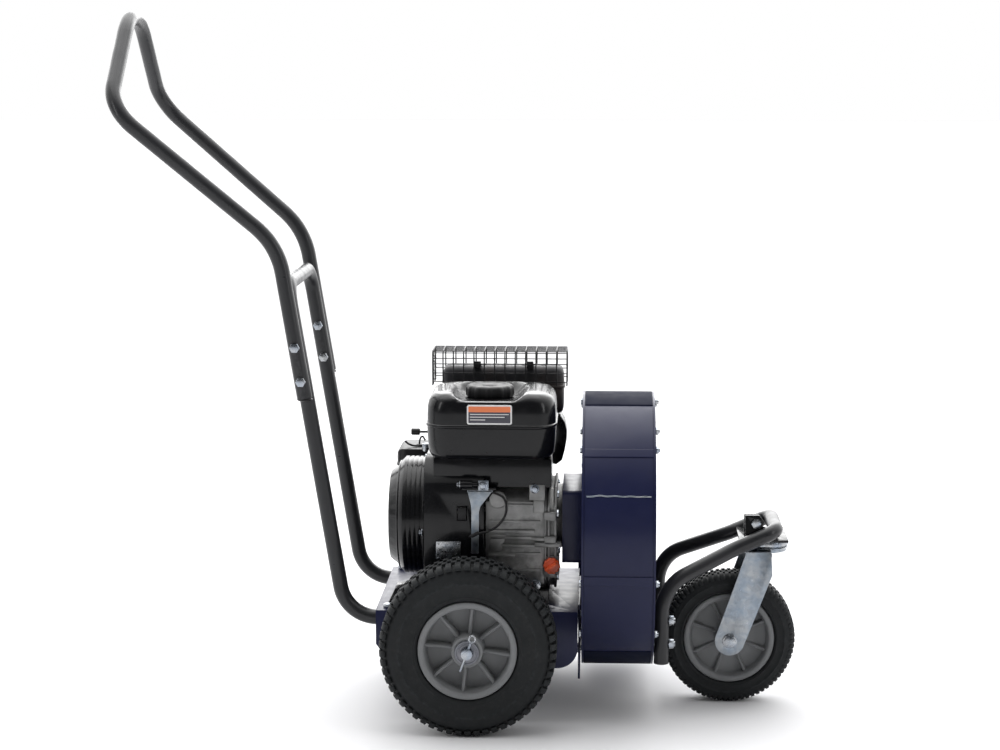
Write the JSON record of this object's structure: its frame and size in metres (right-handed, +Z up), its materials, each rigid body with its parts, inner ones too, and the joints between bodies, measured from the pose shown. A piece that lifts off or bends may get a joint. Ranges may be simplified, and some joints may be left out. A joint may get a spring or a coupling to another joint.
{
  "type": "walk behind leaf blower",
  "caption": "Walk-behind leaf blower: engine-driven scroll fan on a steel frame with fixed rear wheels, a swivel front caster and a bent tube push handle.",
  "frame": {"origin": "under the middle of the machine's bounding box, on the ground", "axes": "+X forward to the caster, +Y to the machine's left, where the air outlet is, +Z up"},
  "size_m": [0.994, 0.48, 1.031],
  "materials": {
    "navy_paint": "semi-gloss powder coat",
    "charcoal_paint": "gloss powder coat",
    "black_gloss": "gloss enamel",
    "black_plastic": "moulded satin plastic",
    "black_wire": "powder coated wire and sheet",
    "muffler_black": "heat resistant satin paint",
    "zinc": "bright zinc plate",
    "zinc_sheet": "zinc plated sheet with a faint blue passivation",
    "bearing_steel": "ground steel",
    "tyre_rubber": "black rubber",
    "rim_grey": "mid grey moulded plastic",
    "cast_aluminium": "die cast, fine grain",
    "fan_steel": "pressed steel",
    "ceramic": "rubber plug cap",
    "orange_plastic": "orange moulded plastic"
  },
  "bodies": {
    "machine": {"base_frame": "navy_paint", "fan_support_plate": "navy_paint", "rear_riser": "black_gloss", "lower_handle": "charcoal_paint", "upper_handle": "charcoal_paint", "handle_bolts": "zinc", "handle_frame_bolts": "zinc", "rear_axle": "zinc", "axle_spacers": "zinc", "axle_split_pins": "zinc", "caster_bracket": "charcoal_paint", "caster_bracket_bolts": "zinc", "caster_mount": "black_gloss", "caster_mount_bolt": "zinc", "caster_kingpin": "zinc", "swivel_balls": "bearing_steel", "fan_back_plate": "navy_paint", "fan_scroll": "navy_paint", "fan_front_plate": "navy_paint", "fan_mount_bolts": "zinc", "intake_guard": "black_wire", "outlet_flange": "navy_paint", "housing_bolts": "zinc", "engine_adapter": "navy_paint", "crankcase": "cast_aluminium", "crankcase_side_cover": "cast_aluminium", "crankcase_bolts": "zinc", "cylinder_block": "cast_aluminium", "cylinder_head": "cast_aluminium", "spark_plug": "ceramic", "engine_shroud": "black_gloss", "recoil_cover": "black_gloss", "fuel_tank": "black_gloss", "tank_bracket": "black_gloss", "carburetor": "cast_aluminium", "air_filter_box": "black_plastic", "muffler": "muffler_black", "muffler_guard": "black_wire", "drain_plug": "zinc", "engine_base_bolts": "zinc"},
    "wheel_left": {"wheel_left_tyre": "tyre_rubber", "wheel_left_rim": "rim_grey", "wheel_left_bushes": "zinc"},
    "wheel_right": {"wheel_right_tyre": "tyre_rubber", "wheel_right_rim": "rim_grey", "wheel_right_bushes": "zinc"},
    "caster_swivel": {"caster_fork": "zinc_sheet", "caster_axle": "zinc"},
    "caster_wheel": {"caster_tyre": "tyre_rubber", "caster_rim": "rim_grey"},
    "rotor": {"crankshaft": "bearing_steel", "flywheel": "fan_steel", "impeller": "fan_steel", "impeller_bolt": "zinc"},
    "pull_handle": {"pull_handle": "black_plastic"},
    "fuel_cap": {"fuel_cap": "black_plastic"},
    "oil_dipstick": {"oil_dipstick": "orange_plastic"},
    "throttle_lever": {"throttle_lever": "zinc"},
    "engine_switch": {"engine_switch": "black_plastic"}
  },
  "joints": [
    {"name": "wheel_left_spin", "type": "hinge", "parent": "machine", "child": "wheel_left", "pos_m": [0.02, 0.19, 0.127], "axis": [0, 1, 0], "continuous": true},
    {"name": "wheel_right_spin", "type": "hinge", "parent": "machine", "child": "wheel_right", "pos_m": [0.02, -0.19, 0.127], "axis": [0, 1, 0], "continuous": true},
    {"name": "caster_swivel_turn", "type": "hinge", "parent": "machine", "child": "caster_swivel", "pos_m": [0.457, 0, 0.231], "axis": [0, 0, 1], "continuous": true},
    {"name": "caster_wheel_spin", "type": "hinge", "parent": "caster_swivel", "child": "caster_wheel", "pos_m": [0.402, 0, 0.099], "axis": [0, 1, 0], "continuous": true},
    {"name": "fan_spin", "type": "hinge", "parent": "machine", "child": "rotor", "pos_m": [0.19, 0, 0.28], "axis": [1, 0, 0], "continuous": true},
    {"name": "pull_handle_slide", "type": "slide", "parent": "machine", "child": "pull_handle", "axis": [0, 1, 0], "range_m": [0, 0.5], "stiffness_N_per_m": 20},
    {"name": "fuel_cap_turn", "type": "hinge", "parent": "machine", "child": "fuel_cap", "pos_m": [0.044, -0.042, 0.482], "axis": [0, 0, 1], "range_deg": [0, 90]},
    {"name": "oil_dipstick_turn", "type": "hinge", "parent": "machine", "child": "oil_dipstick", "pos_m": [0.137, -0.095, 0.224], "axis": [0, 1, 0], "range_deg": [0, 180]},
    {"name": "throttle_lever_turn", "type": "hinge", "parent": "machine", "child": "throttle_lever", "pos_m": [-0.06, 0.128, 0.364], "axis": [0, 0, 1], "range_deg": [-25, 0]},
    {"name": "engine_switch_rock", "type": "hinge", "parent": "machine", "child": "engine_switch", "pos_m": [0.006, -0.106, 0.303], "axis": [1, 0, 0], "range_deg": [-8, 8]}
  ]
}
